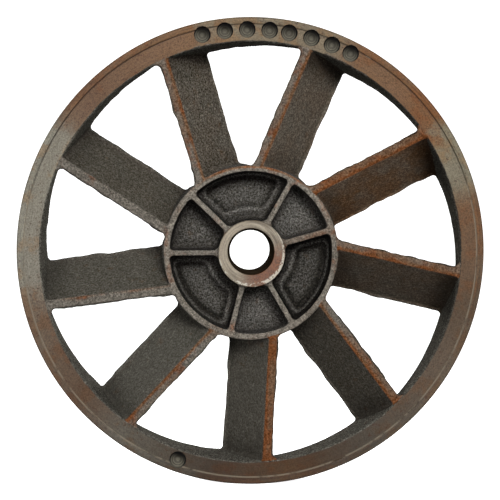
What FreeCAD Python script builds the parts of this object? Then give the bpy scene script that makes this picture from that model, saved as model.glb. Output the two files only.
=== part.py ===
import FreeCAD, Part

import os

import Sketcher

# A cast-iron V-belt flywheel with nine fan blades for spokes.
# Millimetres, +Z up. The wheel turns about Y, its front faces -Y, and the origin is on the bore's axis
# at the middle of the rim's width. Angles run anticlockwise from +X towards +Z, as seen from the front.

DIMENSIONS = {
    # rim
    "outer_radius": 177.8,
    "rim_width": 44.5,
    "rim_face_inner_radius": 160.8,
    "rim_wall_radius": 158.2,
    "face_step_radius": 172.7,
    "face_step_depth": 0.8,
    "edge_chamfer": 0.8,
    # belt grooves
    "groove_top_width": 13.0,
    "groove_bottom_radius": 165.6,
    "groove_half_angle": 19.0,
    "groove_spacing": 19.0,
    # balance drillings in the front flange
    "drill_radius": 6.35,
    "drill_circle_radius": 168.4,
    "drill_wall_depth": 1.8,
    "drill_point_half_angle": 59.0,
    "drill_row_count": 8,
    "drill_row_first_angle": 62.6,
    "drill_row_pitch": 5.68,
    "lone_drill_angle": 250.7,
    # fan blades: sideways places are measured from the blade's radial centre line
    "blade_count": 9,
    "blade_first_angle": 27.0,
    "blade_front": -21.0,
    "blade_back": 18.5,
    "blade_front_offset": 24.6,
    "blade_back_offset": -12.0,
    "blade_edge_width": 7.0,
    # hub
    "hub_ring_outer_radius": 66.4,
    "hub_ring_inner_radius": 61.9,
    "hub_front": -21.5,
    "hub_back": 19.5,
    "web_front": 0.0,
    "web_thickness": 7.0,
    "recess_depth": 3.0,
    "recess_inner_radius": 34.0,
    "recess_outer_radius": 60.0,
    "recess_span": 55.0,
    "wide_pocket_angle": 98.0,
    "narrow_half_span": 22.3,
    "rib_thickness": 4.2,
    # boss and bore
    "boss_radius": 25.1,
    "boss_length": 56.0,
    "bore_radius": 15.875,
    "mouth_radius": 17.8,
    "mouth_depth": 18.0,
}

POCKET_SETS = 3
SET_PITCH = 360 / POCKET_SETS
TOOL_RADIUS = 400.0

doc = FreeCAD.newDocument("Flywheel")
sheet = doc.addObject("Spreadsheet::Sheet", "dim")
for row, (name, value) in enumerate(DIMENSIONS.items(), start=1):
    sheet.set(f"A{row}", name)
    sheet.set(f"B{row}", str(value))
    sheet.setAlias(f"B{row}", name)
doc.recompute()

nodes = []


def body(label, angle=None):
    """A named body; angle, an expression in degrees, turns it about the wheel's axis."""
    new = doc.addObject("PartDesign::Body", label)
    new.Label = label
    if angle is not None:
        new.Placement = FreeCAD.Placement(
            FreeCAD.Vector(0, 0, 0), FreeCAD.Rotation(FreeCAD.Vector(0, -1, 0), 1)
        )
        new.setExpression("Placement.Rotation.Angle", f"({angle}) * 1 deg")
    nodes.append(new)
    return new


def origin_feature(of_body, role):
    """The body's own origin plane or axis with this role."""
    for feature in of_body.Origin.OriginFeatures:
        if feature.Role == role:
            return feature
    raise ValueError(f"{of_body.Label} has no {role}")


def new_sketch(in_body, name, plane):
    """An empty sketch on one of the body's origin planes."""
    new = in_body.newObject("Sketcher::SketchObject", f"{in_body.Label}_{name}")
    new.AttachmentSupport = [(origin_feature(in_body, plane), "")]
    new.MapMode = "FlatFace"
    return new


def hold_point(sketch, geometry, point, place):
    """Fixes one sketch point at a place, a pair of expressions, measured from the sketch's origin."""
    for kind, expression in zip(("DistanceX", "DistanceY"), place):
        start = sketch.evalExpression(expression)
        number = sketch.addConstraint(
            Sketcher.Constraint(kind, -1, 1, geometry, point, float(start))
        )
        sketch.setExpression(f"Constraints[{number}]", expression)


def add_polygon(sketch, corners):
    """A closed outline whose corners are pairs of expressions."""
    places = [
        FreeCAD.Vector(float(sketch.evalExpression(x)), float(sketch.evalExpression(y)), 0)
        for x, y in corners
    ]
    count = len(corners)
    first = sketch.GeometryCount
    for index in range(count):
        sketch.addGeometry(Part.LineSegment(places[index], places[(index + 1) % count]))
    for index in range(count):
        following = first + (index + 1) % count
        sketch.addConstraint(Sketcher.Constraint("Coincident", first + index, 2, following, 1))
    for index, corner in enumerate(corners):
        hold_point(sketch, first + index, 1, corner)


def add_circle(sketch, radius):
    """A circle about the sketch's origin whose radius is an expression."""
    start = float(sketch.evalExpression(radius))
    circle = sketch.addGeometry(
        Part.Circle(FreeCAD.Vector(0, 0, 0), FreeCAD.Vector(0, 0, 1), start)
    )
    sketch.addConstraint(Sketcher.Constraint("Coincident", circle, 3, -1, 1))
    number = sketch.addConstraint(Sketcher.Constraint("Radius", circle, start))
    sketch.setExpression(f"Constraints[{number}]", radius)


def revolve(in_body, corners):
    """Turns an outline of (radius, y) corners about the wheel's axis."""
    profile = new_sketch(in_body, "profile", "XY_Plane")
    add_polygon(profile, corners)
    turned = in_body.newObject("PartDesign::Revolution", f"{in_body.Label}_turned")
    turned.Profile = profile
    turned.ReferenceAxis = (profile, ["V_Axis"])
    turned.Angle = 360
    return turned


def trim(in_body, name, inner, outer=None):
    """Cuts away what lies within the inner radius, or between it and the outer one."""
    outline = new_sketch(in_body, f"{name}_outline", "XZ_Plane")
    add_circle(outline, inner)
    if outer is not None:
        add_circle(outline, outer)
    cut = in_body.newObject("PartDesign::Pocket", f"{in_body.Label}_{name}")
    cut.Profile = outline
    cut.Type = "ThroughAll"
    cut.Midplane = True
    return cut


def repeat(in_body, feature, name, count, span):
    """Repeats a feature about the wheel's axis over a span, anticlockwise as seen from the front."""
    pattern = in_body.newObject("PartDesign::PolarPattern", f"{in_body.Label}_{name}")
    pattern.Originals = [feature]
    pattern.Axis = (origin_feature(in_body, "Y_Axis"), [""])
    pattern.Reversed = True
    pattern.setExpression("Occurrences", count)
    pattern.setExpression("Angle", span)
    in_body.Tip = pattern
    return pattern


def build_rim():
    """Three flanges on a band, with a V-shaped belt groove between each two flanges."""
    front = "-dim.rim_width / 2"
    groove_depth = "(dim.outer_radius - dim.groove_bottom_radius)"
    half_top = "dim.groove_top_width / 2"
    half_bottom = f"({half_top} - {groove_depth} * tan(dim.groove_half_angle * 1 deg))"
    groove_middle = "dim.groove_spacing / 2"
    face_inner, wall, outer = "dim.rim_face_inner_radius", "dim.rim_wall_radius", "dim.outer_radius"
    bevel = f"({face_inner} - {wall})"
    floor = "dim.groove_bottom_radius"
    side_top = f"({groove_middle} + {half_top})"
    side_bottom = f"({groove_middle} + {half_bottom})"

    front_flange = body("rim_front_flange", "dim.drill_row_first_angle")
    revolve(
        front_flange,
        [
            (face_inner, f"{front} + dim.face_step_depth"),
            ("dim.face_step_radius", f"{front} + dim.face_step_depth"),
            ("dim.face_step_radius", front),
            (f"{outer} - dim.edge_chamfer", front),
            (outer, f"{front} + dim.edge_chamfer"),
            (outer, f"-{side_top}"),
            (floor, f"-{side_bottom}"),
            (wall, f"-{side_bottom}"),
            (wall, f"{front} + dim.face_step_depth + {bevel}"),
        ],
    )
    drill_balance_holes(front_flange, front)

    centre_top = f"({groove_middle} - {half_top})"
    centre_bottom = f"({groove_middle} - {half_bottom})"
    revolve(
        body("rim_centre_flange"),
        [
            (floor, f"-{centre_bottom}"),
            (outer, f"-{centre_top}"),
            (outer, centre_top),
            (floor, centre_bottom),
        ],
    )
    revolve(
        body("rim_back_flange"),
        [
            (wall, side_bottom),
            (floor, side_bottom),
            (outer, side_top),
            (outer, "dim.rim_width / 2 - dim.edge_chamfer"),
            (f"{outer} - dim.edge_chamfer", "dim.rim_width / 2"),
            (face_inner, "dim.rim_width / 2"),
            (wall, f"dim.rim_width / 2 - {bevel}"),
        ],
    )
    revolve(
        body("rim_band"),
        [
            (wall, f"-{side_bottom}"),
            (floor, f"-{side_bottom}"),
            (floor, side_bottom),
            (wall, side_bottom),
        ],
    )


def drill_balance_holes(flange, front):
    """Shallow drillings with the drill point's cone: a row of them, and a lone one across the rim."""
    centre, radius = "dim.drill_circle_radius", "dim.drill_radius"
    wall_end = f"({front} + dim.drill_wall_depth)"
    point_depth = f"{radius} / tan(dim.drill_point_half_angle * 1 deg)"
    outline = new_sketch(flange, "drill_outline", "XY_Plane")
    add_polygon(
        outline,
        [
            (centre, f"{front} - 1"),
            (f"{centre} + {radius}", f"{front} - 1"),
            (f"{centre} + {radius}", wall_end),
            (centre, f"{wall_end} + {point_depth}"),
        ],
    )
    drilling = flange.newObject("PartDesign::Groove", "first_drilling")
    drilling.Profile = outline
    drilling.ReferenceAxis = (outline, ["Edge4"])
    drilling.Angle = 360
    doc.recompute()
    row_span = "(dim.drill_row_count - 1) * dim.drill_row_pitch * 1 deg"
    repeat(flange, drilling, "drilling_row", "dim.drill_row_count", row_span)
    lone_span = "(dim.lone_drill_angle - dim.drill_row_first_angle) * 1 deg"
    repeat(flange, drilling, "lone_drilling", "2", lone_span)


def build_blades():
    """Plates that slant from their front edge back to the side, from the hub ring out to the rim."""
    front, back = "dim.blade_front", "dim.blade_back"
    front_edge, back_edge = "dim.blade_front_offset", "dim.blade_back_offset"
    for index in range(int(DIMENSIONS["blade_count"])):
        blade = body(
            f"fan_blade_{index + 1}",
            f"dim.blade_first_angle + {index} * 360 / dim.blade_count",
        )
        section = new_sketch(blade, "section", "YZ_Plane")
        add_polygon(
            section,
            [
                (front, f"{front_edge} - dim.blade_edge_width"),
                (front, front_edge),
                (back, f"{back_edge} + dim.blade_edge_width"),
                (back, back_edge),
            ],
        )
        plate = blade.newObject("PartDesign::Pad", f"{blade.Label}_plate")
        plate.Profile = section
        plate.setExpression("Length", "dim.outer_radius")
        trim(blade, "hub_end", "dim.hub_ring_outer_radius")
        trim(blade, "rim_end", "dim.rim_wall_radius", str(TOOL_RADIUS))


def build_hub():
    """The ring that the blades grow from, the web inside it, its ribs and the boss."""
    ring_outer, ring_inner = "dim.hub_ring_outer_radius", "dim.hub_ring_inner_radius"
    front, back = "dim.hub_front", "dim.hub_back"
    revolve(
        body("hub_ring"),
        [(ring_inner, front), (ring_outer, front), (ring_outer, back), (ring_inner, back)],
    )
    build_web(ring_inner)
    for index in range(POCKET_SETS):
        for side in (-1, 1):
            number = 2 * index + (1 if side < 0 else 2)
            build_rib(
                f"hub_rib_{number}",
                f"dim.wide_pocket_angle + 180 / {POCKET_SETS} + {index} * {SET_PITCH}"
                f" + {side} * dim.narrow_half_span",
                ring_inner,
            )
    build_boss()


def build_web(ring_inner):
    """The pockets' floor: a disc with a shallow recess, a sector, in each wide pocket."""
    web = body("hub_web", "dim.wide_pocket_angle")
    web_front = "dim.web_front"
    web_back = "(dim.web_front + dim.web_thickness)"
    revolve(
        web,
        [
            ("dim.boss_radius", web_front),
            (ring_inner, web_front),
            (ring_inner, web_back),
            ("dim.boss_radius", web_back),
        ],
    )
    section = new_sketch(web, "recess_section", "XY_Plane")
    add_polygon(
        section,
        [
            ("dim.recess_inner_radius", f"{web_front} - 1"),
            ("dim.recess_outer_radius", f"{web_front} - 1"),
            ("dim.recess_outer_radius", f"{web_front} + dim.recess_depth"),
            ("dim.recess_inner_radius", f"{web_front} + dim.recess_depth"),
        ],
    )
    recess = web.newObject("PartDesign::Groove", "recess")
    recess.Profile = section
    recess.ReferenceAxis = (section, ["V_Axis"])
    recess.Midplane = True
    recess.setExpression("Angle", "dim.recess_span * 1 deg")
    doc.recompute()
    repeat(web, recess, "recesses", str(POCKET_SETS), "360 deg")


def build_rib(label, angle, ring_inner):
    """A straight wall across the pockets, from the boss to the hub ring."""
    rib = body(label, angle)
    section = new_sketch(rib, "section", "YZ_Plane")
    half = "dim.rib_thickness / 2"
    add_polygon(
        section,
        [
            ("dim.hub_front", f"-{half}"),
            ("dim.web_front", f"-{half}"),
            ("dim.web_front", half),
            ("dim.hub_front", half),
        ],
    )
    wall = rib.newObject("PartDesign::Pad", f"{label}_wall")
    wall.Profile = section
    wall.setExpression("Length", "dim.outer_radius")
    trim(rib, "boss_end", "dim.boss_radius")
    trim(rib, "ring_end", ring_inner, str(TOOL_RADIUS))


def build_boss():
    """A long round boss with a straight bore that opens into a tapered mouth at the front."""
    half, chamfer = "dim.boss_length / 2", "dim.edge_chamfer"
    revolve(
        body("hub_boss"),
        [
            ("dim.mouth_radius", f"-{half}"),
            (f"dim.boss_radius - {chamfer}", f"-{half}"),
            ("dim.boss_radius", f"-{half} + {chamfer}"),
            ("dim.boss_radius", f"{half} - {chamfer}"),
            (f"dim.boss_radius - {chamfer}", half),
            (f"dim.bore_radius + {chamfer}", half),
            ("dim.bore_radius", f"{half} - {chamfer}"),
            ("dim.bore_radius", f"-{half} + dim.mouth_depth"),
        ],
    )


def check_and_write():
    """Stops at any failed object or bad shape, then writes each node's file."""
    doc.recompute()
    failed = [item.Name for item in doc.Objects if {"Invalid", "Error"} & set(item.State)]
    if failed:
        raise RuntimeError(f"failed objects: {failed}")
    os.makedirs("parts", exist_ok=True)
    for node in nodes:
        shape = node.Shape
        if shape.isNull() or not shape.isValid() or len(shape.Solids) != 1:
            raise RuntimeError(f"{node.Label} isn't one valid solid")
        shape.exportStep(f"parts/{node.Label}.step")
        print(f"{node.Label}: {shape.Volume / 1000:.2f} cm3")


build_rim()
build_blades()
build_hub()
check_and_write()
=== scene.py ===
import math

import bpy
import numpy as np
import openvdb
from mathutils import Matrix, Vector


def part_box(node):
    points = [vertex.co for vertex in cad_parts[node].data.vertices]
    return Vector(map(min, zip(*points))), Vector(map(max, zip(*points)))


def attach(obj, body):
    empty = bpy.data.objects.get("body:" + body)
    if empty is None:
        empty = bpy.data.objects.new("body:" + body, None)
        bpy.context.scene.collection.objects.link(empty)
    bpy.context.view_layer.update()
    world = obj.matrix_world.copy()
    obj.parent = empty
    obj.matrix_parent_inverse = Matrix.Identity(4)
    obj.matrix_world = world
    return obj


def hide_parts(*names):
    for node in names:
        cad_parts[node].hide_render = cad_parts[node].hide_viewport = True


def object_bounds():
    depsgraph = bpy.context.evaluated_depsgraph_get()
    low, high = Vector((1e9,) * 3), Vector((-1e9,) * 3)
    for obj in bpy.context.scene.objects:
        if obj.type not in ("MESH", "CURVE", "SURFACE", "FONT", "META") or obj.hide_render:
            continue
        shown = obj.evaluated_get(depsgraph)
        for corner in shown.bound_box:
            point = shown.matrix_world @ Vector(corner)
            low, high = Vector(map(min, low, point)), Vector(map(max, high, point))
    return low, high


# A cast-iron V-belt flywheel with nine fan blades, shown square on.
# The castings are built in millimetres as distance fields, so that their walls meet in cast fillets,
# and are meshed and scaled to metres. The turned parts are lathe profiles.

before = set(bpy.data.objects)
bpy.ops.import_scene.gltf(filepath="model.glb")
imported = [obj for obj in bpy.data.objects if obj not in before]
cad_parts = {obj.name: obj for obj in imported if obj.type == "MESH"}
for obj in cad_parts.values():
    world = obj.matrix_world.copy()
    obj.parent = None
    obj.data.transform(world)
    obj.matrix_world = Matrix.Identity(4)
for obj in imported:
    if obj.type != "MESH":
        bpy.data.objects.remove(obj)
cad_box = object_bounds()

MM = 0.001
SEED = 7

# About how much brighter than its own paint a surface shows where it faces the key light.
KEY_BRIGHTNESS = 5.0


# ---------------------------------------------------------------- sizes, in millimetres

def low(node):
    """The least x, y and z of one CAD node."""
    return [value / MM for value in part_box(node)[0]]


def high(node):
    """The greatest x, y and z of one CAD node."""
    return [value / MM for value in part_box(node)[1]]


# The rim, with two 38 degree belt grooves and a shallow step in its front face.
OUTER_RADIUS = round(high("rim_back_flange")[2], 1)
RIM_FRONT = low("rim_front_flange")[1]
RIM_BACK = high("rim_back_flange")[1]
GROOVE_FLOOR = round(high("rim_band")[2], 1)
GROOVE_MIDDLES = (-9.5, 9.5)
GROOVE_HALF_TOP = 6.5
GROOVE_SLOPE = math.tan(math.radians(19))
FACE_STEP = 0.8
FACE_STEP_RADIUS = 172.7
STEP_FOOT_RADIUS = FACE_STEP_RADIUS - 0.3
FACE_INNER_RADIUS = 160.8
WALL_RADIUS = 159.3
EDGE_CHAMFER = 0.8

# The casting sits a little off its turned surfaces: the rim's inner wall is this much low, and the hub
# and the blades are moved by this x and z.
CASTING_DROP = 0.75
CASTING_SHIFT = (0.1, -1.0)

# The balance drillings, made with a drill whose point is 118 degrees.
DRILL_RADIUS = 6.35
DRILL_CIRCLE = 168.4
DRILL_WALL = 1.8
DRILL_CONE = DRILL_RADIUS / math.tan(math.radians(59))
DRILL_ANGLES = (63.2, 68.5, 74.1, 80.0, 85.1, 90.9, 96.7, 102.6, 250.7)

# The blades slant across the wheel: the offsets say how far from the blade's own spoke line, anticlockwise,
# its edges are in front and behind. BLADE_START is where its field begins, inside the hub ring.
BLADES = 9
BLADE_PITCH = 360 / BLADES
FIRST_BLADE = 27.0
BLADE_FRONT = -21.0
BLADE_BACK = 18.5
BLADE_FRONT_OFFSET = 24.6
BLADE_BACK_OFFSET = -12.0
BLADE_EDGE = 7.0
BLADE_START = 60.0
BLADE_RIM_FILLET = 4.6
BLADE_HUB_FILLET = 2.6

# The y of the ragged fins that the mould left on each blade's front and back edges, and how far they reach
# back into the blade.
FRONT_FIN = BLADE_FRONT + 2.4
BACK_FIN = BLADE_BACK - 1.1
FIN_ROOT = 4.0

# One number for each blade, from the first: how rusty, brown and grainy it is, and how much painted shade
# darkens it for how the light falls on it.
BLADE_RUST = (1.2, 0.7, 0.6, 0.15, 0.3, 0.7, 1.3, 0.85, 0.85)
BLADE_TINT = (0.9, 0.4, 0.25, 0.15, 0.05, 0.0, 0.05, 0.15, 0.45)
BLADE_GRIT = (0.6, 0.65, 1.0, 0.7, 0.6, 0.5, 0.5, 0.6, 0.6)
BLADE_SHADE = (0.11, 0.05, 0.27, 0.45, 0.37, 0.30, 0.42, 0.60, 0.51)

# The lean of the rim's and the hub's cast walls, and how far under them the blades' fillets end.
DRAFT = math.tan(math.radians(3.2))
JOINT_DEPTH = 0.15

# The hub: a ring, six ribs and a web with a recess in each wide pocket.
HUB_RADIUS = round(high("hub_ring")[2], 1)
HUB_INNER_RADIUS = 61.9
HUB_FRONT = low("hub_ring")[1]
HUB_BACK = high("hub_ring")[1]
POCKET_DRAFT = math.tan(math.radians(4.5))
WEB_FRONT = low("hub_web")[1]
WEB_BACK = high("hub_web")[1]
WEB_FILLET = 4.5
RIB_HALF = 2.0
RIB_DRAFT = POCKET_DRAFT * 0.6
RIB_FILLET = 3.0
RIB_ANGLES = (15.7, 60.3, 135.7, 180.3, 255.7, 300.3)
WIDE_POCKETS = [(RIB_ANGLES[first], RIB_ANGLES[(first + 1) % 6]) for first in (1, 3, 5)]
RECESS_DEPTH = 3.0
RECESS_INNER_RADIUS = 34.5
RECESS_OUTER_RADIUS = 58.5
RECESS_INSET = 7.6

# How much painted shade darkens each of the hub's six pockets, anticlockwise from the one across +X.
POCKET_SHADE = (0.68, 0.27, 0.49, 0.44, 0.52, 0.28)

# The boss. BOSS_SHIFT is the x and z by which its outside is off the bore.
BOSS_RADIUS = round(high("hub_boss")[0], 1)
BOSS_FRONT = low("hub_boss")[1]
BOSS_BACK = high("hub_boss")[1]
BOSS_SHIFT = (0.6, -1.7)
BOSS_DRAFT = 0.05
BOSS_FILLET = 4.0
BORE_RADIUS = 15.875
MOUTH_RADIUS = 17.8
MOUTH_DEPTH = 18.0

# What each mesh says at its vertices about its iron and its painted shade, for the materials.
IRON_MARKS = ("worn", "rust", "tint", "shade", "gritty")

CASTING_VOXEL = 0.7


# ---------------------------------------------------------------- noise

def lattice(cell, seed):
    """A repeatable random number from -1 to 1 for each whole-numbered cell."""
    word = cell[0] * 73856093 ^ cell[1] * 19349663 ^ cell[2] * 83492791 ^ seed * 2654435761
    word = (word ^ (word >> 13)) * 1274126177 & 0xFFFFFFFF
    word = (word ^ (word >> 16)) * 2246822519 & 0xFFFFFFFF
    return (word & 0xFFFF) / 32767.5 - 1


def noise(points, size, seed):
    """Smooth noise from -1 to 1 at N points, with bumps of this size."""
    scaled = np.asarray(points, float) / size
    base = np.floor(scaled).astype(np.int64)
    part = scaled - base
    part = part * part * (3 - 2 * part)
    total = np.zeros(len(scaled))
    for corner in range(8):
        step = [(corner >> axis) & 1 for axis in range(3)]
        weight = np.ones(len(scaled))
        for axis in range(3):
            weight *= part[:, axis] if step[axis] else 1 - part[:, axis]
        total += weight * lattice((base + step).T, seed)
    return total


def wave_noise(values, size, seed):
    """The same noise along one line."""
    values = np.asarray(values, float)
    flat = np.zeros((values.size, 3))
    flat[:, 0] = values.ravel()
    return noise(flat, size, seed).reshape(values.shape)


def cast_skin(points, seed):
    """How far a sand-cast skin stands off its pattern, in millimetres."""
    return (
        0.28 * noise(points, 34, seed)
        + 0.14 * noise(points, 9, seed + 1)
        + 0.11 * noise(points, 3.2, seed + 2)
        + 0.07 * noise(points, 1.6, seed + 3)
    )


# ---------------------------------------------------------------- distance fields

def join_round(a, b, radius):
    """Union of two solids with a fillet of this radius between them."""
    overlap = np.hypot(np.maximum(radius - a, 0), np.maximum(radius - b, 0))
    return np.maximum(radius, np.minimum(a, b)) - overlap


def meet_round(a, b, radius):
    """Intersection of two solids with its edge rounded to this radius."""
    outside = np.hypot(np.maximum(radius + a, 0), np.maximum(radius + b, 0))
    return np.minimum(-radius, np.maximum(a, b)) + outside


def parting_depth(angle, radius):
    """Where the mould's two halves meet: along each blade's slant, and back again across each window."""
    front = np.degrees(np.arcsin(BLADE_FRONT_OFFSET / radius))
    back = np.degrees(np.arcsin(BLADE_BACK_OFFSET / radius))
    phase = np.mod(angle - FIRST_BLADE - front, BLADE_PITCH)
    window = BLADE_PITCH + back - front
    across = phase / window
    along = (phase - window) / (BLADE_PITCH - window)
    depth = BLADE_BACK - BLADE_FRONT
    return np.where(across < 1, BLADE_FRONT + depth * across, BLADE_BACK - depth * along)


def flash(angle, y, parting, height, seed):
    """The ragged fin that the parting line leaves on a wall."""
    ragged = 0.5 + 0.5 * wave_noise(angle, 4.5, seed) + 0.22 * wave_noise(angle, 1.4, seed + 1)
    return height * ragged * np.exp(-(((y - parting) / 0.9) ** 2))


def rim_wall(angle, y):
    """Radius of the rim's cast inner wall, which leans in to the parting line from either face."""
    parting = parting_depth(angle, WALL_RADIUS)
    lean = DRAFT * (np.minimum(y, parting) - RIM_FRONT - np.maximum(y - parting, 0))
    flare = 1.2 * np.exp(-np.maximum(y - RIM_FRONT - FACE_STEP, 0) / 1.3)
    drop = CASTING_DROP * np.sin(np.radians(angle))
    return WALL_RADIUS - lean + flare - drop - flash(angle, y, parting, 0.9, SEED)


def hub_wall(angle, y):
    """Radius of the hub ring's outer wall."""
    parting = parting_depth(angle, HUB_RADIUS)
    lean = DRAFT * (np.minimum(y, parting) - HUB_FRONT - np.maximum(y - parting, 0))
    return HUB_RADIUS + lean + flash(angle, y, parting, 0.7, SEED + 5)


# ---------------------------------------------------------------- meshes

def new_mesh(name, points, faces, materials, smooth_angle=40):
    """An object from points in millimetres and arrays of faces, each array with one corner count."""
    mesh = bpy.data.meshes.new(name)
    faces = [np.asarray(group, np.int32) for group in faces if len(group)]
    mesh.vertices.add(len(points))
    mesh.vertices.foreach_set("co", (np.asarray(points, np.float32) * MM).ravel())
    corners = np.concatenate([group.ravel() for group in faces])
    sizes = np.concatenate([np.full(len(group), group.shape[1]) for group in faces])
    starts = np.concatenate([[0], np.cumsum(sizes)[:-1]]).astype(np.int32)
    mesh.loops.add(len(corners))
    mesh.loops.foreach_set("vertex_index", corners)
    mesh.polygons.add(len(sizes))
    mesh.polygons.foreach_set("loop_start", starts)
    mesh.update(calc_edges=True)
    mesh.validate()
    for material in materials:
        mesh.materials.append(material)
    mesh.polygons.foreach_set("use_smooth", np.ones(len(mesh.polygons), bool))
    mesh.set_sharp_from_angle(angle=math.radians(smooth_angle))
    piece = bpy.data.objects.new(name, mesh)
    bpy.context.scene.collection.objects.link(piece)
    return piece


def vertex_arrays(mesh):
    """Vertex places in millimetres and their normals."""
    count = len(mesh.vertices)
    places, normals = np.empty(count * 3, np.float32), np.empty(count * 3, np.float32)
    mesh.vertices.foreach_get("co", places)
    mesh.vertex_normals.foreach_get("vector", normals)
    return places.reshape(-1, 3) / MM, normals.reshape(-1, 3)


def set_places(mesh, places):
    """Moves the vertices to these places in millimetres."""
    mesh.vertices.foreach_set("co", (places * MM).astype(np.float32).ravel())
    mesh.update()


def set_attribute(mesh, name, values):
    """Stores a number for each vertex, or one number for them all."""
    layer = mesh.attributes.get(name) or mesh.attributes.new(name, "FLOAT", "POINT")
    values = np.broadcast_to(values, len(mesh.vertices))
    layer.data.foreach_set("value", values.astype(np.float32))


def field_mesh(field, corner):
    """Points and faces of a distance field's zero surface. The field's first value is at the corner."""
    band = 3 * CASTING_VOXEL
    grid = openvdb.FloatGrid(band)
    grid.copyFromArray(np.clip(field, -band, band).astype(np.float32))
    points, triangles, quads = grid.convertToPolygons(isovalue=0.0, adaptivity=0.0)
    return points * CASTING_VOXEL + np.asarray(corner), triangles, quads


def axis_line(start, stop):
    """Places along one axis, a voxel apart."""
    return start + CASTING_VOXEL * np.arange(int((stop - start) / CASTING_VOXEL) + 1)


# ---------------------------------------------------------------- pieces

def turned(angle, points):
    """Points turned about the wheel's axis, anticlockwise as seen from the front."""
    c, s = math.cos(math.radians(angle)), math.sin(math.radians(angle))
    x, y, z = points.T
    return np.stack([c * x - s * z, y, s * x + c * z], 1)


def ease(value, start, stop):
    """0 below start, 1 above stop, and a smooth rise between."""
    part = np.clip((value - start) / (stop - start), 0, 1)
    return part * part * (3 - 2 * part)


def blade_plate(seed, s, u, y):
    """Distance to a blade's slanted plate, with the ragged fins that the mould left on two of its edges."""
    run = BLADE_FRONT_OFFSET - BLADE_BACK_OFFSET - BLADE_EDGE
    rise = BLADE_BACK - BLADE_FRONT
    length = math.hypot(run, rise)
    across = (u - BLADE_FRONT_OFFSET) * rise + (y - BLADE_FRONT) * run
    rear_face = across / length
    broad_face = -(across + BLADE_EDGE * rise) / length
    ends = np.maximum(BLADE_FRONT - y, y - BLADE_BACK)
    plate = meet_round(meet_round(rear_face, ends, 1.5), broad_face, 0.6)

    front_reach = -0.2 + 0.8 * np.maximum(wave_noise(s, 12, seed), -0.3) + 0.3 * wave_noise(s, 3.5, seed + 1)
    front_fin = np.maximum(np.abs(y - FRONT_FIN) - 0.9, u - BLADE_FRONT_OFFSET - front_reach)
    back_reach = 0.3 + 0.7 * wave_noise(s, 15, seed + 2) + 0.3 * wave_noise(s, 5, seed + 3)
    back_fin = np.maximum(np.abs(y - BACK_FIN) - 0.7, BLADE_BACK_OFFSET - back_reach - u)
    plate = np.minimum(plate, np.maximum(front_fin, BLADE_FRONT_OFFSET - FIN_ROOT - u))
    return np.minimum(plate, np.maximum(back_fin, u - BLADE_BACK_OFFSET - FIN_ROOT))


def blade_field(index, turn, s, u, y):
    """Distance to one blade, flared into the hub's and the rim's walls.

    s runs out along the blade, u across it, and turn is the angle from x to s. The fillets are smallest
    in front on the broad face's side.
    """
    plate = blade_plate(SEED + 11 * index, s, u, y)
    c, n = math.cos(math.radians(turn)), math.sin(math.radians(turn))
    x, z = s * c - u * n + CASTING_SHIFT[0], s * n + u * c + CASTING_SHIFT[1]
    hub = np.hypot(s, u) - hub_wall(turn + np.degrees(np.arctan2(u, s)), y) + JOINT_DEPTH
    rim_radius = np.hypot(x, z)
    rim = rim_wall(np.degrees(np.arctan2(z, x)), y) + JOINT_DEPTH - rim_radius
    broad_side = ease(BLADE_FRONT_OFFSET - BLADE_EDGE + 3 - u, 0, 5)
    depth = ease(y, BLADE_FRONT, BLADE_FRONT + 9)
    rim_fillet = BLADE_RIM_FILLET - broad_side * (3.4 - 1.8 * depth)
    hub_fillet = BLADE_HUB_FILLET - broad_side * (1.2 - 1.0 * depth)
    shape = join_round(join_round(plate, hub, hub_fillet), rim, rim_fillet)
    shape = meet_round(shape, HUB_FRONT + 0.1 - y, 0.5)
    near = np.maximum(u - BLADE_FRONT_OFFSET - 6, BLADE_BACK_OFFSET - 7 - u)
    keep = np.maximum(np.maximum(HUB_RADIUS - 1.2 - np.hypot(s, u), rim_radius - WALL_RADIUS - 1.5), near)
    return np.maximum(shape, keep)


def shifted(points):
    """Points moved as the casting sits against the turned surfaces, a little off their axis."""
    return points + np.array((CASTING_SHIFT[0], 0, CASTING_SHIFT[1]))


def make_blade(index, material):
    """One blade, built along its own length and turned to its place, with its own rust, colour and painted
    shade.
    """
    turn = FIRST_BLADE + index * BLADE_PITCH
    corner = (BLADE_START, BLADE_FRONT - 2.5, BLADE_BACK_OFFSET - 9)
    s = axis_line(corner[0], WALL_RADIUS + 5)[:, None, None]
    y = axis_line(corner[1], BLADE_BACK + 3)[None, :, None]
    u = axis_line(corner[2], BLADE_FRONT_OFFSET + 8)[None, None, :]
    points, triangles, quads = field_mesh(blade_field(index, turn, s, u, y), corner)
    piece = new_mesh(f"cast_blade_{index + 1}", shifted(turned(turn, points)), (triangles, quads), [material])
    roughen(piece, SEED)

    along, depth, across = points.T
    mark_worn(piece, depth, BLADE_FRONT)
    inner_edge = np.exp(-(((across - BLADE_FRONT_OFFSET + BLADE_EDGE) / 1.6) ** 2))
    set_attribute(piece.data, "rust", BLADE_RUST[index] * (0.6 + 0.8 * inner_edge))
    set_attribute(piece.data, "gritty", BLADE_GRIT[index] * 0.95)
    set_attribute(piece.data, "tint", BLADE_TINT[index])
    set_attribute(piece.data, "shade", blade_shade(index, turn, along, depth))
    return piece


def blade_shade(index, turn, along, depth):
    """How much painted shade darkens a blade: painted shadow at both its ends, and most at the rim's end of
    the blades on the right.
    """
    # Painted shadow of the rim at the outer end, deepest on the blades to the right, and of the hub ring at
    # the inner end.
    toward_right = ease(math.cos(math.radians(turn - 30)), 0, 0.9)
    rim_end = (0.42 + 0.5 * toward_right) * ease(along, 134, 157)
    hub_end = 0.3 * ease(-along, -88, -68)
    shade = BLADE_SHADE[index] + (1 - BLADE_SHADE[index]) * np.maximum(rim_end, hub_end)
    return np.where(depth < BLADE_FRONT + 0.6, 1.0, shade)


def roughen(piece, seed):
    """Gives a casting its skin."""
    places, normals = vertex_arrays(piece.data)
    set_places(piece.data, places + normals * cast_skin(places, seed)[:, None])


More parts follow.
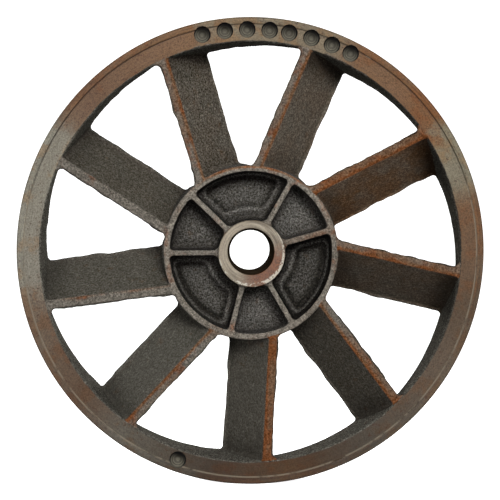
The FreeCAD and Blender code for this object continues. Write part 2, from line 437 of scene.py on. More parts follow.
def mark_worn(piece, depths, front):
    """Marks the faces that handling has rubbed: the casting's front edges."""
    set_attribute(piece.data, "worn", 1 - ease(depths, front + 0.25, front + 0.9))


def hub_field(x, y, z):
    """The ring, web, ribs and the boss's cast outside, as one casting."""
    radius = np.hypot(x, z)
    angle = np.degrees(np.arctan2(z, x))
    outside = radius - hub_wall(angle, y)
    lean = POCKET_DRAFT * np.minimum(y - HUB_FRONT, HUB_BACK - y)
    ring = np.maximum(outside, HUB_INNER_RADIUS - lean - radius)

    ribs = np.full(np.broadcast(x, y, z).shape, 1e3, np.float32)
    for rib_angle in RIB_ANGLES:
        c, s = math.cos(math.radians(rib_angle)), math.sin(math.radians(rib_angle))
        along, aside = c * x + s * z, c * z - s * x
        wall = np.abs(aside) - RIB_HALF - RIB_DRAFT * (y - HUB_FRONT)
        ribs = np.minimum(ribs, np.maximum(wall, -along) + 0 * y)
    ribs = np.maximum(np.maximum(ribs, radius - HUB_INNER_RADIUS), y - WEB_FRONT - 2)

    walls = meet_round(join_round(ring, ribs, RIB_FILLET), HUB_FRONT - y, 1.1)
    walls = meet_round(walls, y - HUB_BACK, 1.2)
    web = np.maximum(np.maximum(WEB_FRONT - y, y - WEB_BACK), radius - HUB_RADIUS + 2)
    shape = join_round(walls, web, WEB_FILLET)

    boss_middle = (BOSS_SHIFT[0] - CASTING_SHIFT[0], BOSS_SHIFT[1] - CASTING_SHIFT[1])
    boss_radius = np.hypot(x - boss_middle[0], z - boss_middle[1])
    boss = boss_radius - BOSS_RADIUS + 0.1 - BOSS_DRAFT * np.minimum(y - BOSS_FRONT, BOSS_BACK - y)
    boss = meet_round(boss, np.maximum(BOSS_FRONT + 0.7 - y, y - BOSS_BACK + 0.7), 0.5)
    shape = join_round(shape, boss, BOSS_FILLET)
    shape = meet_round(shape, -recess_field(x, y, z), 1.2)
    return np.maximum(shape, BOSS_RADIUS - 1.5 - boss_radius)


def recess_edge(x, z):
    """How far outside the outline of a wide pocket's recess each point is, its sides being along the ribs."""
    radius = np.hypot(x, z)
    edge = np.full(radius.shape, 1e3)
    for start, stop in WIDE_POCKETS:
        first, last = math.radians(start), math.radians(stop)
        from_first = math.cos(first) * z - math.sin(first) * x
        from_last = math.sin(last) * x - math.cos(last) * z
        sides = meet_round(RECESS_INSET - from_first, RECESS_INSET - from_last, 4.0)
        ends = np.maximum(RECESS_INNER_RADIUS - radius, radius - RECESS_OUTER_RADIUS)
        edge = np.minimum(edge, meet_round(sides, ends, 4.0))
    return edge


def recess_field(x, y, z):
    """The shallow recess in each wide pocket."""
    slope = 0.5 * (y - WEB_FRONT)
    recess = meet_round(recess_edge(x, z) + slope, y - WEB_FRONT - RECESS_DEPTH, 2.2)
    return np.maximum(recess, WEB_FRONT - 8 - y)


def make_hub(material):
    """The hub's casting, with rust on the ring's upper edge and painted shade in its pockets."""
    reach = HUB_RADIUS + 4
    corner = (-reach, BOSS_FRONT - 2, -reach)
    x = axis_line(-reach, reach)[:, None, None]
    y = axis_line(corner[1], BOSS_BACK + 2)[None, :, None]
    z = axis_line(-reach, reach)[None, None, :]
    points, triangles, quads = field_mesh(hub_field(x, y, z), corner)
    piece = new_mesh("cast_hub", shifted(points), (triangles, quads), [material])
    roughen(piece, SEED)

    x, y, z = points.T
    mark_worn(piece, y, HUB_FRONT)
    from_top = np.abs(np.degrees(np.arctan2(z, x)) - 88)
    ring_edge = ease(np.hypot(x, z), HUB_RADIUS - 3, HUB_RADIUS) * ease(-from_top, -60, -20)
    set_attribute(piece.data, "rust", 0.3 + 0.7 * ring_edge)
    set_attribute(piece.data, "tint", 0.1)
    set_attribute(piece.data, "gritty", 1)
    set_attribute(piece.data, "shade", pocket_shade(points))
    return piece


def pocket_shade(points):
    """How much painted shade darkens each point of the hub.

    Painted shade is most in the pockets' corners, and least on a recess's rounded edge, which gets a painted
    highlight.
    The hub's back and outside are even, and its worn front is darker on the right and lighter at the top.
    """
    x, y, z = points.T
    radius, edge = np.hypot(x, z), recess_edge(x, z)
    pocket = np.searchsorted(RIB_ANGLES, np.mod(np.degrees(np.arctan2(z, x)), 360)) % len(RIB_ANGLES)
    # Painted shade in the pockets' corners and at a recess's foot, and a painted highlight on its lip.
    corner = 1 - ease(wall_distance(points), 0.5, 12)
    recess_corner = np.exp(-(((edge + 2.2) / 2.2) ** 2))
    recess_lip = np.exp(-(((edge - 1.3) / 1.3) ** 2)) * (np.abs(y - WEB_FRONT) < 2.5)
    shade = np.take(POCKET_SHADE, pocket) + 0.36 * corner + 0.28 * recess_corner
    shade = np.clip(shade - 0.5 * recess_lip, 0, 1)
    shade = np.where((y > WEB_FRONT + 5) | (radius > HUB_RADIUS - 1), 0.35, shade)
    front = 0.25 + 0.5 * ease(x / radius, 0.85, 1) - 0.25 * ease(z / radius, 0, 0.7)
    return np.where(y < HUB_FRONT + 0.6, front, shade)


def wall_distance(points):
    """How far each point of a pocket's floor is from the nearest ring, rib or boss wall."""
    x, _, z = points.T
    radius = np.hypot(x, z)
    nearest = np.minimum(np.abs(HUB_INNER_RADIUS - 1.5 - radius), np.abs(radius - BOSS_RADIUS))
    for rib_angle in RIB_ANGLES:
        c, s = math.cos(math.radians(rib_angle)), math.sin(math.radians(rib_angle))
        ahead = np.where(c * x + s * z > 0, 0, 100)
        nearest = np.minimum(nearest, np.abs(c * z - s * x) - RIB_HALF + ahead)
    return nearest


def swept_ring(name, rows, materials, steps):
    """A closed ring. Each row is (radius, y, material), with its middle's (x, z) where that's off the axis.

    A radius is one number, or an array with a value for each step.
    """
    angle = np.radians(np.arange(steps) * 360 / steps)
    points = []
    for radius, y, _, *middle in rows:
        x, z = middle[0] if middle else (0, 0)
        places = np.broadcast_arrays(x + radius * np.cos(angle), y, z + radius * np.sin(angle))
        points.append(np.stack(places, 1))
    index = np.arange(len(rows) * steps).reshape(len(rows), steps)
    after, beside = np.roll(index, -1, 0), np.roll(index, -1, 1)
    faces = np.stack([index, after, np.roll(after, -1, 1), beside], -1).reshape(-1, 4)
    piece = new_mesh(name, np.concatenate(points), (faces,), materials, smooth_angle=30)
    kinds = np.repeat([row[2] for row in rows], steps).astype(np.int32)
    piece.data.polygons.foreach_set("material_index", kinds)
    return piece


def groove_outline(middle):
    """One belt groove's (radius, y) from front to back, with straight sides and eased corners."""
    half_floor = GROOVE_HALF_TOP - (OUTER_RADIUS - GROOVE_FLOOR) * GROOVE_SLOPE
    side = [
        (OUTER_RADIUS, GROOVE_HALF_TOP + 0.4),
        (OUTER_RADIUS - 0.4, GROOVE_HALF_TOP),
        (GROOVE_FLOOR + 0.6, half_floor + 0.1),
        (GROOVE_FLOOR, half_floor - 0.5),
    ]
    front = [(radius, middle - reach) for radius, reach in side]
    back = [(radius, middle + reach) for radius, reach in reversed(side)]
    return front + back


def rim_rows(angle):
    """The rim's outline: turned front face, belt grooves and back face, then the cast inner wall.

    The rows inside a flat face only keep its quads short. The cast wall has many, for its fin and skin, and
    is bevelled at the back.
    """
    turned_iron, cast_iron = 0, 1
    wall_rows = 40
    bevel_reach, bevel_depth = 1.2, 0.8
    face = RIM_FRONT + FACE_STEP
    drop = CASTING_DROP * np.sin(np.radians(angle))
    ragged = 0.20 * wave_noise(angle, 2.6, SEED + 3) + 0.12 * wave_noise(angle, 0.9, SEED + 4)
    edge = FACE_INNER_RADIUS - drop + ragged
    outline = [
        (edge, face),
        (edge + 0.5, face),
        (164.5, face),
        (DRILL_CIRCLE, face),
        (STEP_FOOT_RADIUS, face),
        (FACE_STEP_RADIUS + 0.2, RIM_FRONT + 0.15),
        (FACE_STEP_RADIUS + 0.6, RIM_FRONT),
        (OUTER_RADIUS - EDGE_CHAMFER, RIM_FRONT),
        (OUTER_RADIUS, RIM_FRONT + EDGE_CHAMFER),
    ]
    for middle in GROOVE_MIDDLES:
        outline += groove_outline(middle)
    outline += [
        (OUTER_RADIUS, RIM_BACK - EDGE_CHAMFER),
        (OUTER_RADIUS - EDGE_CHAMFER, RIM_BACK),
        (172.0, RIM_BACK),
        (166.0, RIM_BACK),
    ]
    rows = [(radius, y, turned_iron) for radius, y in outline]
    for y in (RIM_BACK, *np.linspace(RIM_BACK - 0.5, face + 0.3, wall_rows)):
        bevel = bevel_reach * np.exp(-(RIM_BACK - y) / bevel_depth)
        rows.append((rim_wall(angle, np.full(angle.shape, y)) + bevel, y, cast_iron))
    return rows


def make_rim(turned_iron, cast_iron, drilled_iron):
    """The rim, with a cast skin on its inner wall only, its drillings and painted shade on the inner wall's
    upper right.
    """
    steps = 1080
    angle = np.arange(steps) * 360 / steps
    piece = swept_ring("turned_rim", rim_rows(angle), [turned_iron, cast_iron, drilled_iron], steps)
    places, normals = vertex_arrays(piece.data)
    inside = np.hypot(places[:, 0], places[:, 2]) < FACE_INNER_RADIUS - 1.1
    places += normals * (cast_skin(places, SEED) * inside)[:, None]
    set_places(piece.data, places)
    drill(piece)
    mark_drillings(piece)

    places, _ = vertex_arrays(piece.data)
    for name in IRON_MARKS:
        set_attribute(piece.data, name, 0.95 if name == "gritty" else 0)
    # Painted shade on the cast inner wall, darkest on the upper right, which faces away from the light.
    upper_right = (places[:, 0] * 0.8 + places[:, 2] * 0.6) / WALL_RADIUS
    set_attribute(piece.data, "shade", 0.35 + 0.4 * ease(upper_right, -0.1, 0.8))
    return piece


def drill_middles():
    """The x and z of each balance drilling."""
    turns = [math.radians(angle) for angle in DRILL_ANGLES]
    return [(DRILL_CIRCLE * math.cos(turn), DRILL_CIRCLE * math.sin(turn)) for turn in turns]


def drill_tool():
    """What the drills take away, as one object: short walls with the cone of the drill's point."""
    sides = 72
    turns = np.radians(np.arange(sides) * 360 / sides)
    top, wall = RIM_FRONT - 1, RIM_FRONT + DRILL_WALL
    rings = ((DRILL_RADIUS, top), (DRILL_RADIUS, wall), (DRILL_RADIUS / 2, wall + DRILL_CONE / 2))
    points, faces = [], []
    for x, z in drill_middles():
        first = len(points)
        for radius, y in rings:
            points += [(x + radius * math.cos(turn), y, z + radius * math.sin(turn)) for turn in turns]
        apex, lid = len(points), len(points) + 1
        points += [(x, wall + DRILL_CONE, z), (x, top, z)]
        for step in range(sides):
            after = (step + 1) % sides
            for row in (0, sides):
                corners = (row + after, row + step, row + sides + step, row + sides + after)
                faces.append([first + corner for corner in corners])
            faces.append([first + 2 * sides + after, first + 2 * sides + step, apex])
            faces.append([first + step, first + after, lid])
    mesh = bpy.data.meshes.new("drill_tool")
    mesh.from_pydata([[value * MM for value in point] for point in points], [], faces)
    mesh.update()
    tool = bpy.data.objects.new("drill_tool", mesh)
    bpy.context.scene.collection.objects.link(tool)
    return tool


def drill(rim):
    """Cuts the balance drillings out of the rim's face."""
    tool = drill_tool()
    cut = rim.modifiers.new("drillings", "BOOLEAN")
    cut.operation = "DIFFERENCE"
    cut.object = tool
    cut.solver = "EXACT"
    apply_modifiers(rim)
    bpy.data.objects.remove(tool)


def mark_drillings(rim):
    """Gives the drillings' faces their material, and each point its distance from the drill's middle."""
    places, _ = vertex_arrays(rim.data)
    nearest, upward = np.full(len(places), 100.0), np.zeros(len(places))
    for middle_x, middle_z in drill_middles():
        x, z = places[:, 0] - middle_x, places[:, 2] - middle_z
        # upward points to the light's side, for the drillings' painted shadow.
        upward = np.where(np.hypot(x, z) < nearest, (0.35 * x + 0.94 * z) / DRILL_RADIUS, upward)
        nearest = np.minimum(nearest, np.hypot(x, z))
    set_attribute(rim.data, "from_drill", nearest)
    set_attribute(rim.data, "up_drill", upward)
    rim.data.set_sharp_from_angle(angle=math.radians(24))
    for face in rim.data.polygons:
        inside = all(nearest[corner] < DRILL_RADIUS + 0.05 for corner in face.vertices)
        if inside and face.center.y < 0:
            face.material_index = 2


def apply_modifiers(piece):
    """Replaces the piece's mesh with what its modifiers make of it."""
    graph = bpy.context.evaluated_depsgraph_get()
    made = bpy.data.meshes.new_from_object(piece.evaluated_get(graph))
    old = piece.data
    piece.modifiers.clear()
    piece.data = made
    bpy.data.meshes.remove(old)


def make_boss(turned_iron, cast_iron, bore_iron):
    """The boss's turned end faces and bore. Its cast outside belongs to the hub."""
    turned_end, cast_side, bore = 0, 1, 2
    steps = 360
    angle = np.arange(steps) * 360 / steps
    chips = 0.16 * wave_noise(angle, 4, SEED + 8) + 0.12 * wave_noise(angle, 1.5, SEED + 9)
    outside = BOSS_RADIUS - 0.5
    hidden = BOSS_RADIUS - 1.0
    inner_front, inner_back = 21.2, 20.0
    # Radius, y, material, and the share of BOSS_SHIFT that moves the row.
    profile = [
        (MOUTH_RADIUS + 0.3, BOSS_FRONT, turned_end, 0),
        (inner_front, BOSS_FRONT, turned_end, 0.5),
        (outside + chips, BOSS_FRONT, turned_end, 1),
        (outside + 0.55 + 0.4 * chips, BOSS_FRONT + 0.5, turned_end, 1),
        (outside + 0.5, BOSS_FRONT + 1.4, cast_side, 1),
        (hidden, BOSS_FRONT + 2.5, cast_side, 1),
        (hidden, BOSS_BACK - 2.5, cast_side, 1),
        (outside + 0.5, BOSS_BACK - 1.4, turned_end, 1),
        (outside + 0.5, BOSS_BACK - 0.5, turned_end, 1),
        (outside, BOSS_BACK, turned_end, 1),
        (inner_back, BOSS_BACK, turned_end, 0.4),
        (BORE_RADIUS + EDGE_CHAMFER, BOSS_BACK, turned_end, 0),
        (BORE_RADIUS, BOSS_BACK - EDGE_CHAMFER, bore, 0),
        (BORE_RADIUS, 8.0, bore, 0),
        (BORE_RADIUS, BOSS_FRONT + MOUTH_DEPTH, bore, 0),
        (MOUTH_RADIUS, BOSS_FRONT + 0.3, turned_end, 0),
    ]
    rows = [
        (radius, y, kind, (share * BOSS_SHIFT[0], share * BOSS_SHIFT[1]))
        for radius, y, kind, share in profile
    ]
    piece = swept_ring("turned_boss", rows, [turned_iron, cast_iron, bore_iron], steps)
    for name in IRON_MARKS:
        set_attribute(piece.data, name, 0)
    return piece


# ---------------------------------------------------------------- materials

class Nodes:
    """Short calls for building one material's nodes."""

    def __init__(self, name):
        self.material = bpy.data.materials.new(name)
        self.material.use_nodes = True
        self.tree = self.material.node_tree
        self.shader = self.tree.nodes["Principled BSDF"]
        self.place = self.add("ShaderNodeTexCoord").outputs["Object"]

    def add(self, kind, **settings):
        """A new node with these settings."""
        node = self.tree.nodes.new(kind)
        for key, value in settings.items():
            setattr(node, key, value)
        return node

    def link(self, source, socket):
        """Joins another node's output to a socket, or sets the socket's own value."""
        if hasattr(source, "is_output"):
            self.tree.links.new(source, socket)
        else:
            socket.default_value = source
        return socket

    def noise(self, scale, detail=2.0, roughness=0.5):
        """Solid noise. A scale of 100 gives bumps about 10 mm across."""
        node = self.add("ShaderNodeTexNoise")
        self.link(self.place, node.inputs["Vector"])
        node.inputs["Scale"].default_value = scale
        node.inputs["Detail"].default_value = detail
        node.inputs["Roughness"].default_value = roughness
        return node.outputs["Fac"]

    def math(self, operation, *values, clamp=False):
        """A sum, product or other operation on numbers and outputs."""
        node = self.add("ShaderNodeMath", operation=operation, use_clamp=clamp)
        for value, socket in zip(values, node.inputs):
            self.link(value, socket)
        return node.outputs[0]

    def plus(self, a, b, clamp=False):
        return self.math("ADD", a, b, clamp=clamp)

    def minus(self, a, b):
        return self.math("SUBTRACT", a, b)

    def times(self, a, b):
        return self.math("MULTIPLY", a, b)

    def rest(self, value):
        """1 where the value is 0, and 0 where it is 1."""
        return self.minus(1.0, value)

    def apart(self, a, b):
        """How far the two values are from each other."""
        return self.math("ABSOLUTE", self.minus(a, b))

    def ramp(self, factor, stops):
        """A colour for each value of the factor, from stops of (value, colour)."""
        node = self.add("ShaderNodeValToRGB")
        elements = node.color_ramp.elements
        while len(elements) < len(stops):
            elements.new(0.5)
        for element, (position, color) in zip(elements, stops):
            element.position = position
            element.color = (*color, 1)
        self.link(factor, node.inputs["Fac"])
        return node.outputs["Color"]

    def greys(self, factor, start, dark, stop, light):
        """A grey from dark, where the factor is start, to light, where it is stop."""
        return self.ramp(factor, [(start, (dark,) * 3), (stop, (light,) * 3)])

    def step(self, value, start, stop):
        """0 below start, 1 above stop, and a smooth rise between."""
        node = self.add("ShaderNodeMapRange", interpolation_type="SMOOTHSTEP")
        self.link(value, node.inputs["Value"])
        node.inputs["From Min"].default_value = start
        node.inputs["From Max"].default_value = stop
        return node.outputs["Result"]

    def mix(self, factor, a, b, blend="MIX"):
        """Colour a, with b laid over it by this factor."""
        node = self.add("ShaderNodeMix", data_type="RGBA", blend_type=blend, clamp_result=True)
        self.link(factor, node.inputs["Factor"])
        inputs = [socket for socket in node.inputs if socket.type == "RGBA"]
        for value, socket in zip((a, b), inputs):
            self.link((*value, 1) if isinstance(value, tuple) else value, socket)
        return [socket for socket in node.outputs if socket.type == "RGBA"][0]

    def tinted(self, color, tint):
        """The colour times a tint of three numbers."""
        return self.mix(1.0, color, tint, "MULTIPLY")

    def attribute(self, name):
        """One of the numbers that the mesh carries at its vertices."""
        return self.add("ShaderNodeAttribute", attribute_name=name).outputs["Fac"]

    def split(self):
        """The place's x, y and z, in metres."""
        node = self.add("ShaderNodeSeparateXYZ")
        self.link(self.place, node.inputs[0])
        return node.outputs

    def bump(self, height, distance, strength, normal=None):
        """A normal bent by a height, on top of another one if it is given."""
        node = self.add("ShaderNodeBump")
        node.inputs["Strength"].default_value = strength
        node.inputs["Distance"].default_value = distance
        self.link(height, node.inputs["Height"])
        if normal is not None:
            self.link(normal, node.inputs["Normal"])
        return node.outputs["Normal"]

    def finish(self, color, roughness, normal, specular):
        """Sets the shader and gives the finished material."""
        self.link(color, self.shader.inputs["Base Color"])
        self.link(roughness, self.shader.inputs["Roughness"])
        self.link(normal, self.shader.inputs["Normal"])
        self.shader.inputs["Specular IOR Level"].default_value = specular
        return self.material


def seen(red, green, blue):
    """The paint that shows as about this sRGB colour where it faces the key light."""
    return tuple((value / 255) ** 2.2 / KEY_BRIGHTNESS for value in (red, green, blue))


def polar(nodes):
    """Radius in metres, and the angle from 0 to 1 round the wheel, anticlockwise from +X."""
    x, _, z = nodes.split()
    radius = nodes.math("SQRT", nodes.plus(nodes.times(x, x), nodes.times(z, z)))
    turn = nodes.math("DIVIDE", nodes.math("ARCTAN2", z, x), 2 * math.pi)
    return radius, nodes.math("FRACT", nodes.plus(turn, 1.0))


def turning_lines(nodes, place, turn, pitch, breaks):
    """Lines left by a lathe tool, about pitch metres apart along place, with some breaks in each turn."""
    lines = nodes.add("ShaderNodeTexNoise", noise_dimensions="2D")
    combined = nodes.add("ShaderNodeCombineXYZ")
    nodes.link(nodes.math("DIVIDE", place, pitch), combined.inputs["X"])
    nodes.link(nodes.times(turn, breaks), combined.inputs["Y"])
    nodes.link(combined.outputs[0], lines.inputs["Vector"])
    lines.inputs["Scale"].default_value = 1.0
    lines.inputs["Detail"].default_value = 3.0
    return lines.outputs["Fac"]


def cast_iron_material():
    """Sand-cast iron: dark and grainy, browner in places, rubbed lighter and rusty on its front edges."""
    n = Nodes("as_cast_iron")
    coarse = n.noise(230, 3, 0.6)
    blotch = n.noise(45, 3, 0.6)
    worn, rust, tint, shade, gritty = (n.attribute(name) for name in IRON_MARKS)
    even = n.minus(n.noise(680, 4, 0.85), 0.5)
    grain = n.plus(n.times(even, n.plus(gritty, worn, clamp=True)), 0.5)

    # The cast skin: grey or brown grain, then painted shade and pale flecks.
    grey = n.ramp(grain, [(0.36, seen(44, 42, 36)), (0.5, seen(98, 95, 85)), (0.64, seen(168, 163, 149))])
    grey = n.mix(n.step(gritty, 0.96, 1.0), grey, n.tinted(grey, (0.97, 1.0, 1.10)))
    brown = n.ramp(grain, [(0.36, seen(44, 31, 20)), (0.5, seen(98, 73, 51)), (0.64, seen(164, 126, 92))])
    freckles = n.times(n.step(n.noise(120, 3, 0.7), 0.60, 0.70), 0.3)
    browner = n.plus(0.5, n.times(n.step(blotch, 0.30, 0.66), 0.5))
    patchy = n.plus(n.times(tint, browner), freckles, clamp=True)
    cast = n.mix(patchy, grey, brown)
    cast = n.mix(0.35, cast, n.greys(coarse, 0.35, 0.6, 0.65, 1.0), "MULTIPLY")
    cast = n.tinted(cast, (1.29, 1.30, 1.36))
    # Painted shade: the shade number darkens the skin.
    cast = n.mix(shade, cast, n.tinted(cast, (0.136, 0.131, 0.127)))
    flecks = n.step(n.noise(760, 2, 0.7), 0.64, 0.70)
    cast = n.mix(n.times(flecks, 0.3), cast, seen(150, 145, 122))

    # The worn front edges: light, dull or rusty, and darkest where the painted shade is.
    light = n.ramp(grain, [(0.36, seen(64, 61, 54)), (0.5, seen(108, 103, 92)), (0.64, seen(156, 149, 134))])
    dull = n.ramp(grain, [(0.36, seen(66, 46, 31)), (0.5, seen(110, 84, 62)), (0.64, seen(152, 122, 94))])
    rusty = n.ramp(grain, [(0.36, seen(70, 40, 20)), (0.5, seen(114, 66, 36)), (0.64, seen(154, 92, 52))])
    rust_noise = n.noise(60, 4, 0.7)
    front = n.mix(n.step(n.plus(rust, n.noise(28, 3, 0.6)), 0.75, 1.25), light, dull)
    rust_here = n.step(n.plus(rust_noise, n.times(rust, 0.20)), 0.58, 0.80)
    front = n.mix(n.times(rust_here, 0.75), front, rusty)
    front = n.mix(shade, n.tinted(front, (1.35, 1.35, 1.35)), front)
    front = n.tinted(front, (1.08, 1.07, 1.14))
    base = n.mix(worn, cast, front)

    rough_part = n.rest(n.times(worn, 0.65))
    height = n.plus(n.times(grain, 0.6), n.times(coarse, rough_part))
    normal = n.bump(height, 0.0010, 0.8)
    return n.finish(base, n.greys(coarse, 0.3, 0.65, 0.7, 0.85), normal, specular=0.0)


# The rim's face turns from brown to grey and back: the brown is rust, and the lighter grey stops are painted
# sheen of the turned face.
# Each stop is a share of a turn, anticlockwise from +X, with the sRGB colour there.
RIM_COLOURS = [
    (0.000, (104, 79, 58)),
    (0.035, (106, 80, 58)),
    (0.052, (121, 113, 96)),
    (0.086, (124, 112, 92)),
    (0.097, (114, 79, 50)),
    (0.170, (112, 84, 60)),
    (0.190, (120, 106, 87)),
    (0.270, (124, 111, 92)),
    (0.290, (117, 87, 61)),
    (0.375, (106, 80, 61)),
    (0.398, (110, 88, 70)),
    (0.411, (130, 124, 112)),
    (0.515, (128, 122, 111)),
    (0.540, (108, 93, 79)),
    (0.610, (88, 68, 52)),
    (0.650, (92, 86, 77)),
    (0.680, (80, 72, 62)),
    (0.720, (65, 53, 43)),
    (0.780, (79, 57, 38)),
    (0.800, (72, 56, 42)),
    (0.835, (73, 65, 56)),
    (0.900, (93, 79, 66)),
    (0.960, (86, 70, 55)),
    (1.000, (104, 79, 58)),
]


def turned_iron_material():
    """The rim's turned faces: rusty brown and painted grey sheen by turns, with fine turning lines, specks
    and rust.
    """
    n = Nodes("turned_iron")
    radius, turn = polar(n)
    wander = n.times(n.minus(n.noise(60, 5, 0.7), 0.5), 0.05)
    place = n.math("FRACT", n.plus(n.plus(turn, wander), 1.0))
    base = n.ramp(place, [(stop, seen(*colour)) for stop, colour in RIM_COLOURS])

    outer = n.step(radius, (FACE_STEP_RADIUS - 1.2) * MM, (FACE_STEP_RADIUS + 0.8) * MM)
    rust_noise = n.noise(60, 4, 0.65)
    rust = n.times(n.step(n.plus(rust_noise, n.times(outer, 0.06)), 0.52, 0.62), 0.5)
    grain = n.noise(800, 4, 0.8)
    base = n.mix(rust, base, n.tinted(base, (1.12, 0.76, 0.48)))
    lines = turning_lines(n, radius, turn, 0.0007, 22.0)
    strength = n.plus(0.35, n.times(outer, 0.4))
    base = n.mix(strength, base, n.greys(lines, 0.35, 0.55, 0.65, 1.0), "MULTIPLY")
    base = n.mix(0.85, base, n.greys(grain, 0.38, 0.38, 0.62, 1.0), "MULTIPLY")
    base = n.tinted(base, (1.68, 1.70, 1.66))
    base = n.mix(outer, base, n.tinted(base, (1.12, 1.14, 1.15)))
    specks = n.step(n.noise(380, 2, 0.6), 0.62, 0.67)
    base = n.mix(n.times(specks, 0.6), base, seen(72, 40, 28))

    # The step's foot gets a painted shade line on the upper half, where its riser faces down, and a broken
    # painted highlight on the lower, where it faces up.
    above = n.step(n.split()[2], 0.02, 0.09)
    foot = n.rest(n.step(n.apart(radius, STEP_FOOT_RADIUS * MM), 0.0002, 0.0009))
    step_painted_shade = n.times(foot, n.times(above, 0.62))
    base = n.mix(step_painted_shade, base, seen(40, 30, 22))
    bright = n.step(n.plus(n.noise(60, 4, 0.75), n.times(above, -0.25)), 0.36, 0.52)
    base = n.mix(n.times(n.times(foot, bright), 0.6), base, seen(158, 147, 128))

    normal = n.bump(lines, 0.0003, 0.35, n.bump(grain, 0.0004, 0.4))
    rough = n.greys(n.noise(60, 3), 0.3, 0.50, 0.7, 0.66)
    return n.finish(base, rough, normal, specular=0.06)


def boss_material():
    """The boss's turned end: tan, with coarse turning rings, a chipped bright edge with a painted highlight
    on the right, and a rusty patch.
    """
    n = Nodes("turned_boss")
    radius, turn = polar(n)
    rings = turning_lines(n, radius, turn, 0.0010, 7.0)
    base = n.ramp(rings, [(0.34, seen(108, 98, 83)), (0.5, seen(142, 133, 116)), (0.66, seen(172, 164, 148))])
    left = n.rest(n.step(n.apart(turn, 0.45), 0.05, 0.32))
    base = n.mix(n.times(left, 0.5), base, seen(178, 168, 150))
    grain = n.noise(700, 4, 0.78)
    off_patch = n.apart(n.math("FRACT", n.plus(turn, 0.63)), 0.5)
    low_right = n.rest(n.step(off_patch, 0.08, 0.22))
    rust = n.times(low_right, n.step(n.noise(150, 4, 0.6), 0.25, 0.47))
    rusty = n.ramp(grain, [(0.34, seen(88, 50, 26)), (0.66, seen(134, 83, 48))])
    base = n.mix(n.times(rust, 0.95), base, rusty)
    base = n.mix(0.7, base, n.greys(grain, 0.36, 0.55, 0.64, 1.0), "MULTIPLY")
    base = n.tinted(base, (1.12, 1.06, 1.0))
    edge = n.step(radius, (BOSS_RADIUS - 1.5) * MM, (BOSS_RADIUS - 0.5) * MM)
    # More bright chips on the right stand for a painted highlight where the edge faces the light.
    off_right = n.apart(n.math("FRACT", n.plus(turn, 0.5)), 0.5)
    more = n.times(n.rest(n.step(off_right, 0.12, 0.24)), 0.07)
    chips = n.times(edge, n.step(n.plus(n.noise(420, 3, 0.7), more), 0.49, 0.57))
    base = n.mix(n.times(chips, 0.85), base, seen(215, 208, 192))
    normal = n.bump(rings, 0.0004, 0.4, n.bump(grain, 0.0004, 0.4))
    return n.finish(base, n.greys(grain, 0.3, 0.48, 0.7, 0.62), normal, specular=0.15)


def bore_material():
    """The bore's wall: darkened as painted shade, with lines along the way the tool went round."""
    n = Nodes("painted_shade_bore")
    _, turn = polar(n)
    streaks = turning_lines(n, n.split()[1], turn, 0.0012, 6.0)
    # Painted shade: the dark paint stands for the shadow inside the bore.
    base = n.ramp(streaks, [(0.3, seen(34, 29, 23)), (0.7, seen(78, 67, 54))])
    return n.finish(base, 0.9, n.bump(streaks, 0.0002, 0.4), specular=0.0)


def drilled_material():
    """Inside the drillings: dark iron with the drill point's rings, and painted shadow along the upper side
    and round the edge.
    """
    n = Nodes("drilled_iron")
    distance, upward = n.attribute("from_drill"), n.attribute("up_drill")
    rings = n.add("ShaderNodeTexNoise", noise_dimensions="1D")
    n.link(n.times(distance, 1.3), rings.inputs["W"])
    rings.inputs["Scale"].default_value = 1.0
    rings.inputs["Detail"].default_value = 3.0
    grain = n.noise(600, 3, 0.7)
    base = n.ramp(rings.outputs["Fac"], [(0.35, seen(66, 63, 54)), (0.65, seen(142, 136, 120))])
    base = n.mix(0.6, base, n.greys(grain, 0.36, 0.5, 0.64, 1.0), "MULTIPLY")
    # Painted shadow of the drilling's wall, on its upper side and round its edge, broken up by noise.
    painted_drill_shadow = n.plus(upward, n.step(distance, 4.8, 6.1))
    painted_drill_shadow = n.plus(painted_drill_shadow, n.times(n.noise(150, 3, 0.6), 0.9))
    base = n.mix(n.step(painted_drill_shadow, -0.1, 1.3), base, seen(16, 15, 12))
    normal = n.bump(rings.outputs["Fac"], 0.0004, 0.5)
    return n.finish(base, 0.7, normal, specular=0.05)


# ---------------------------------------------------------------- stage

def make_stage():
    """A floor that curves up into a far backdrop. Both look plain white; they light the wheel from behind."""
    n = Nodes("pale_stage")
    glow_start, glow_full = -0.12, 0.15
    glow = n.step(n.split()[1], glow_start, glow_full)
    looked_at = n.add("ShaderNodeLightPath").outputs["Is Camera Ray"]
    n.link(n.math("MAXIMUM", glow, looked_at), n.shader.inputs["Emission Strength"])
    n.link((0.56, 0.56, 0.56, 1), n.shader.inputs["Base Color"])
    n.link((1, 1, 1, 1), n.shader.inputs["Emission Color"])
    n.link(0.9, n.shader.inputs["Roughness"])
    floor = cad_box[0][2]
    near, far, bend, height = -2.6, 3.6, 0.8, 3.6
    bend_steps = 16
    outline = [(near, floor)]
    for step in range(bend_steps + 1):
        angle = math.radians(90 * step / bend_steps)
        outline.append((far - bend + bend * math.sin(angle), floor + bend - bend * math.cos(angle)))
    outline.append((far, height))
    half_width = 4.0
    points = [(side, y, z) for y, z in outline for side in (-half_width, half_width)]
    faces = [(2 * row, 2 * row + 1, 2 * row + 3, 2 * row + 2) for row in range(len(outline) - 1)]
    mesh = bpy.data.meshes.new("stage")
    mesh.from_pydata(points, [], faces)
    mesh.materials.append(n.material)
    mesh.polygons.foreach_set("use_smooth", [True] * len(faces))
    stage = bpy.data.objects.new("stage", mesh)
    bpy.context.scene.collection.objects.link(stage)


# Each soft light's place in metres and its watts. All of them point at the origin.
LIGHTS = {
    "key": ((0.26, -1.64, 0.68), 9.8),
    "fill": ((-1.05, -1.35, 0.0), 1.9),
    "rear_right": ((0.95, 1.3, 0.6), 4.5),
    "rear_left": ((-1.05, 1.25, 0.4), 4.0),
}
LIGHT_SIZE = 0.8
LIGHT_SPREAD = math.radians(44)


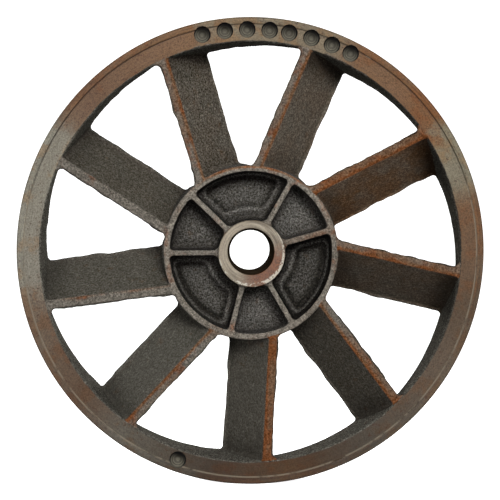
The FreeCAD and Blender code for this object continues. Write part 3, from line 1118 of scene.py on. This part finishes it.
def make_lights():
    """Four round area lights, in a dim white world that looks plain white itself."""
    for name, (place, watts) in LIGHTS.items():
        light = bpy.data.lights.new(name, "AREA")
        light.shape = "DISK"
        light.size = LIGHT_SIZE
        light.energy = watts
        light.spread = LIGHT_SPREAD
        lamp = bpy.data.objects.new(name, light)
        lamp.location = place
        lamp.rotation_euler = (-Vector(place)).to_track_quat("-Z", "Y").to_euler()
        bpy.context.scene.collection.objects.link(lamp)

    world = bpy.data.worlds.new("studio")
    world.use_nodes = True
    tree = world.node_tree
    strength = tree.nodes.new("ShaderNodeMapRange")
    strength.inputs["To Min"].default_value = 0.15
    strength.inputs["To Max"].default_value = 1.0
    ray = tree.nodes.new("ShaderNodeLightPath")
    background = tree.nodes["Background"]
    background.inputs["Color"].default_value = (1, 1, 1, 1)
    tree.links.new(ray.outputs["Is Camera Ray"], strength.inputs["Value"])
    tree.links.new(strength.outputs[0], background.inputs["Strength"])
    bpy.context.scene.world = world


def make_camera():
    """Far off, in front, a little high and to the left."""
    distance = 1.6
    side, rise = math.radians(-1.45), math.radians(1.9)
    frame_width = 0.3802
    target = Vector((-0.0006, RIM_FRONT * MM, 0.0010))
    away = Vector((math.sin(side), -math.cos(side) * math.cos(rise), math.sin(rise)))
    data = bpy.data.cameras.new("camera")
    data.sensor_width = 36.0
    data.lens = data.sensor_width * distance / frame_width
    camera = bpy.data.objects.new("camera", data)
    camera.location = target + away * distance
    camera.rotation_euler = (-away).to_track_quat("-Z", "Y").to_euler()
    bpy.context.scene.collection.objects.link(camera)
    bpy.context.scene.camera = camera


# ---------------------------------------------------------------- assembly

def assemble():
    """Makes every piece, hides the CAD nodes that it replaces and hangs it from its body."""
    cast_iron = cast_iron_material()
    turned_iron = turned_iron_material()
    drilled_iron = drilled_material()

    rim = make_rim(turned_iron, cast_iron, drilled_iron)
    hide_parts("rim_front_flange", "rim_centre_flange", "rim_back_flange", "rim_band")
    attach(rim, "root")

    hub = make_hub(cast_iron)
    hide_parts("hub_ring", "hub_web", *[f"hub_rib_{number}" for number in range(1, 7)])
    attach(hub, "root")

    boss = make_boss(boss_material(), cast_iron, bore_material())
    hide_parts("hub_boss")
    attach(boss, "root")

    for index in range(BLADES):
        blade = make_blade(index, cast_iron)
        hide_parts(f"fan_blade_{index + 1}")
        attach(blade, "root")


make_camera()
make_stage()
make_lights()
assemble()
bpy.context.scene.view_settings.view_transform = "Standard"
